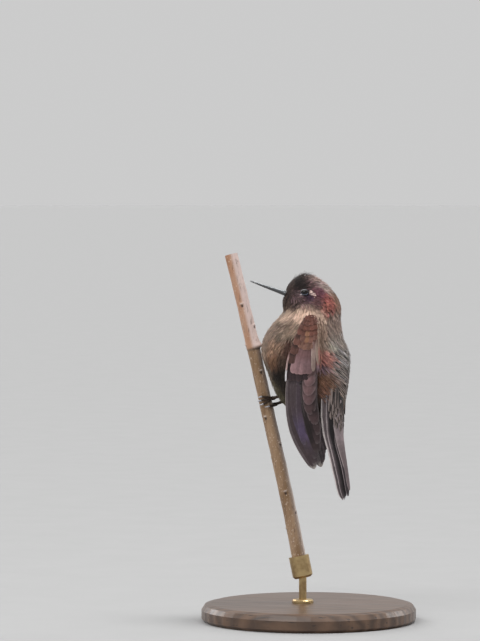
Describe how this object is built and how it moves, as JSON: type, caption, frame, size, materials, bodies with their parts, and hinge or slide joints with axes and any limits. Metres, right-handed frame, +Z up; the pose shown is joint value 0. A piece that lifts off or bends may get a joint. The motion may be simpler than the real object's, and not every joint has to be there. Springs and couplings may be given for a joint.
{
  "type": "hummingbird",
  "caption": "Life-size still model of a small copper-brown hummingbird clinging upright to a cut length of dry stem, held by a rod and socket on a round base.",
  "frame": {"origin": "centre of the underside of the round base", "axes": "+Z up; the bird's body plane is y = 0 and it faces -X, with its left side towards -Y"},
  "size_m": [0.084, 0.084, 0.1436],
  "materials": {
    "face_plumage": "small dark brown feathers",
    "body_plumage": "soft copper-brown feathers",
    "wing_coverts": "reddish-brown rounded feathers",
    "flight_feathers": "mauve-brown vanes with a weak violet sheen",
    "bill_horn": "black, satin",
    "eye": "black, wet gloss",
    "leg_skin": "dark scaly skin",
    "dry_stem": "dry pale bark with leaf scars",
    "stained_wood": "dark stained, satin",
    "dull_brass": "brushed and dulled"
  },
  "bodies": {
    "root": {"head": "face_plumage", "neck": "body_plumage", "trunk": "body_plumage", "bill_upper": "bill_horn", "bill_lower": "bill_horn", "eye_left": "eye", "eye_right": "eye", "wing_left_coverts": "wing_coverts", "wing_left_primaries": "flight_feathers", "wing_left_secondaries": "flight_feathers", "wing_right_coverts": "wing_coverts", "wing_right_primaries": "flight_feathers", "wing_right_secondaries": "flight_feathers", "tail_left": "flight_feathers", "tail_right": "flight_feathers", "tail_middle": "flight_feathers", "shank_left": "leg_skin", "shank_right": "leg_skin", "foot_left": "leg_skin", "foot_right": "leg_skin", "perch_stem": "dry_stem", "stand_base": "stained_wood", "stand_rod": "dull_brass"}
  },
  "joints": []
}
